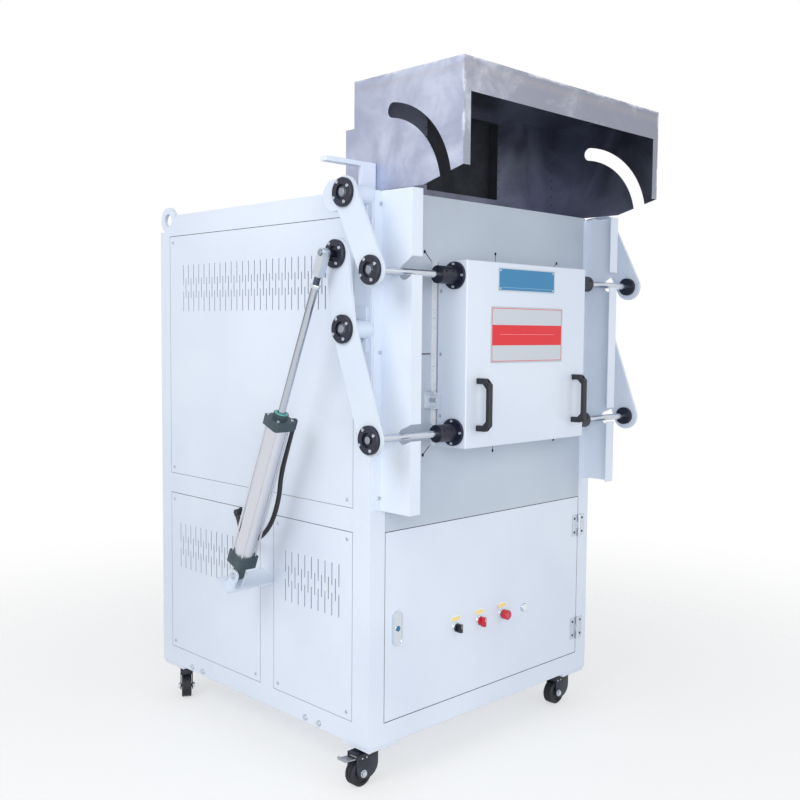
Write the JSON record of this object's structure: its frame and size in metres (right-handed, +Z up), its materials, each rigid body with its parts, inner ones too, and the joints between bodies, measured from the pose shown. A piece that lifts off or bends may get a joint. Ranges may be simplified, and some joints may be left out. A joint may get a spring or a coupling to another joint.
{
  "type": "assay furnace",
  "caption": "Free-standing electric assay furnace: steel cabinet, parallel-arm lifting door, air cylinder, stainless hood and swivel casters.",
  "frame": {"origin": "centre of the footprint, on the floor", "axes": "+X to the right seen from the front, +Y from the door side to the back, +Z up"},
  "size_m": [1.282, 1.3296, 1.9355],
  "materials": {
    "body_paint": "pale blue-white powder coat",
    "front_paint": "pale grey-blue powder coat",
    "arm_paint": "white paint",
    "stainless": "mottled stainless sheet with weld marks",
    "bright_steel": "ground and polished",
    "satin_steel": "satin",
    "black_oxide": "black oxide",
    "cap_grey": "dark anodised",
    "barrel_alloy": "satin anodised",
    "black_plastic": "matt",
    "red_plastic": "gloss",
    "plaque": "printed aluminium",
    "fibre": "pressed ceramic fibre board",
    "refractory": "fired",
    "gear": "mixed electrical gear",
    "hose_rubber": "matt black",
    "tread": "black rubber",
    "fork_metal": "black gloss",
    "pedal_metal": "zinc plated",
    "lock_alloy": "chrome"
  },
  "bodies": {
    "cabinet": {"frame": "body_paint", "front_panel": "front_paint", "left_upper_panel": "body_paint", "left_lower_panels": "body_paint", "right_panels": "body_paint", "rear_panels": "body_paint", "top_cover": "body_paint", "floor_tray": "body_paint", "cabinet_screws": "satin_steel", "mouth_frame": "body_paint", "furnace_case": "body_paint", "chamber_lining": "fibre", "hearth_plate": "refractory", "heating_elements": "refractory", "thermocouple": "refractory", "control_gear": "gear", "column_guards": "body_paint", "pivot_blocks": "arm_paint", "arm_stops": "body_paint", "hood": "stainless", "exhaust_duct": "stainless", "cylinder_bracket": "arm_paint", "bulkhead_fitting": "black_plastic", "hinge_post_leaves": "satin_steel", "caster_mounts": "fork_metal"},
    "furnace_door": {"door_shell": "body_paint", "door_plug": "fibre", "door_handles": "black_plastic", "door_rods": "bright_steel", "door_flanges": "black_oxide", "door_plaques": "plaque"},
    "upper_arm_left": {"upper_arm_left": "arm_paint", "upper_arm_left_flanges": "black_oxide"},
    "upper_arm_right": {"upper_arm_right": "arm_paint", "upper_arm_right_flanges": "black_oxide"},
    "lower_arm_left": {"lower_arm_left": "arm_paint", "lower_arm_left_flanges": "black_oxide"},
    "lower_arm_right": {"lower_arm_right": "arm_paint", "lower_arm_right_flanges": "black_oxide"},
    "cylinder": {"cylinder_barrel": "barrel_alloy", "cylinder_caps": "cap_grey", "air_hose": "hose_rubber"},
    "piston": {"piston_rod": "bright_steel", "rod_end": "black_oxide"},
    "lower_door": {"lower_door": "body_paint", "hinge_door_leaves": "satin_steel", "door_fittings": "lock_alloy"},
    "lock": {"lock_barrel": "lock_alloy"},
    "selector_black": {"selector_black": "black_plastic"},
    "selector_red": {"selector_red": "red_plastic"},
    "stop_button": {"stop_button": "red_plastic"},
    "fork_front_left": {"fork_front_left": "fork_metal"},
    "wheel_front_left": {"wheel_front_left": "tread"},
    "fork_front_right": {"fork_front_right": "fork_metal"},
    "wheel_front_right": {"wheel_front_right": "tread"},
    "fork_rear_left": {"fork_rear_left": "fork_metal"},
    "wheel_rear_left": {"wheel_rear_left": "tread"},
    "fork_rear_right": {"fork_rear_right": "fork_metal"},
    "wheel_rear_right": {"wheel_rear_right": "tread"},
    "brake_pedal": {"brake_pedal": "pedal_metal"}
  },
  "joints": [
    {"name": "door_lift", "type": "hinge", "parent": "cabinet", "child": "upper_arm_left", "pos_m": [-0.476, -0.38129, 1.608], "axis": [-1, 0, 0], "range_deg": [0, 142.59]},
    {"name": "door_pivot", "type": "hinge", "parent": "upper_arm_left", "child": "furnace_door", "pos_m": [-0.476, -0.48579, 1.40648], "axis": [-1, 0, 0], "range_deg": [-116.11, 0]},
    {"name": "upper_arm_right_turn", "type": "hinge", "parent": "cabinet", "child": "upper_arm_right", "pos_m": [0.524, -0.38129, 1.608], "axis": [-1, 0, 0], "range_deg": [0, 142.61]},
    {"name": "lower_arm_left_turn", "type": "hinge", "parent": "cabinet", "child": "lower_arm_left", "pos_m": [-0.476, -0.38129, 1.258], "axis": [-1, 0, 0], "range_deg": [0, 109.06]},
    {"name": "lower_arm_right_turn", "type": "hinge", "parent": "cabinet", "child": "lower_arm_right", "pos_m": [0.524, -0.38129, 1.258], "axis": [-1, 0, 0], "range_deg": [0, 109.06]},
    {"name": "cylinder_swing", "type": "hinge", "parent": "cabinet", "child": "cylinder", "pos_m": [-0.601, 0.03021, 0.545], "axis": [-1, 0, 0], "range_deg": [0, 1.94]},
    {"name": "piston_stroke", "type": "slide", "parent": "cylinder", "child": "piston", "axis": [0, 0.3876, -0.9218], "range_m": [0, 0.31982]},
    {"name": "lower_door_hinge", "type": "hinge", "parent": "cabinet", "child": "lower_door", "pos_m": [0.469, -0.40279, 0.179], "axis": [0, 0, 1], "range_deg": [0, 110]},
    {"name": "lock_turn", "type": "hinge", "parent": "lower_door", "child": "lock", "pos_m": [-0.375, -0.39679, 0.435], "axis": [0, 1, 0], "range_deg": [-90, 0]},
    {"name": "selector_black_turn", "type": "hinge", "parent": "lower_door", "child": "selector_black", "pos_m": [-0.131, -0.39679, 0.387], "axis": [0, 1, 0], "range_deg": [0, 60]},
    {"name": "selector_red_turn", "type": "hinge", "parent": "lower_door", "child": "selector_red", "pos_m": [-0.026, -0.39679, 0.387], "axis": [0, 1, 0], "range_deg": [0, 60]},
    {"name": "stop_button_press", "type": "slide", "parent": "lower_door", "child": "stop_button", "axis": [0, 1, 0], "range_m": [0, 0.004], "stiffness_N_per_m": 1500, "springref_m": -0.002},
    {"name": "swivel_front_left", "type": "hinge", "parent": "cabinet", "child": "fork_front_left", "pos_m": [-0.421, -0.34179, 0.105], "axis": [0, 0, 1], "continuous": true},
    {"name": "roll_front_left", "type": "hinge", "parent": "fork_front_left", "child": "wheel_front_left", "pos_m": [-0.463, -0.34179, 0.0375], "axis": [0, -1, 0], "continuous": true},
    {"name": "brake_pedal_tilt", "type": "hinge", "parent": "fork_front_left", "child": "brake_pedal", "pos_m": [-0.477, -0.34179, 0.0827], "axis": [0, 1, 0], "range_deg": [0, 12]},
    {"name": "swivel_front_right", "type": "hinge", "parent": "cabinet", "child": "fork_front_right", "pos_m": [0.469, -0.34179, 0.105], "axis": [0, 0, 1], "continuous": true},
    {"name": "roll_front_right", "type": "hinge", "parent": "fork_front_right", "child": "wheel_front_right", "pos_m": [0.427, -0.34179, 0.0375], "axis": [0, -1, 0], "continuous": true},
    {"name": "swivel_rear_left", "type": "hinge", "parent": "cabinet", "child": "fork_rear_left", "pos_m": [-0.421, 0.59521, 0.105], "axis": [0, 0, 1], "continuous": true},
    {"name": "roll_rear_left", "type": "hinge", "parent": "fork_rear_left", "child": "wheel_rear_left", "pos_m": [-0.44326, 0.55959, 0.0375], "axis": [0.848, -0.5299, 0], "continuous": true},
    {"name": "swivel_rear_right", "type": "hinge", "parent": "cabinet", "child": "fork_rear_right", "pos_m": [0.469, 0.59521, 0.105], "axis": [0, 0, 1], "continuous": true},
    {"name": "roll_rear_right", "type": "hinge", "parent": "fork_rear_right", "child": "wheel_rear_right", "pos_m": [0.442, 0.62738, 0.0375], "axis": [-0.766, -0.6428, 0], "continuous": true}
  ],
  "couplings": [
    {"joint": "door_pivot", "follows": "door_lift", "ratio": -0.81398},
    {"joint": "upper_arm_right_turn", "follows": "door_lift", "ratio": 1},
    {"joint": "lower_arm_left_turn", "follows": "door_lift", "ratio": 0.76448},
    {"joint": "lower_arm_right_turn", "follows": "door_lift", "ratio": 0.76448},
    {"joint": "cylinder_swing", "follows": "door_lift", "ratio": 0.013487},
    {"joint": "piston_stroke", "follows": "door_lift", "m_per_rad": 0.12843}
  ]
}
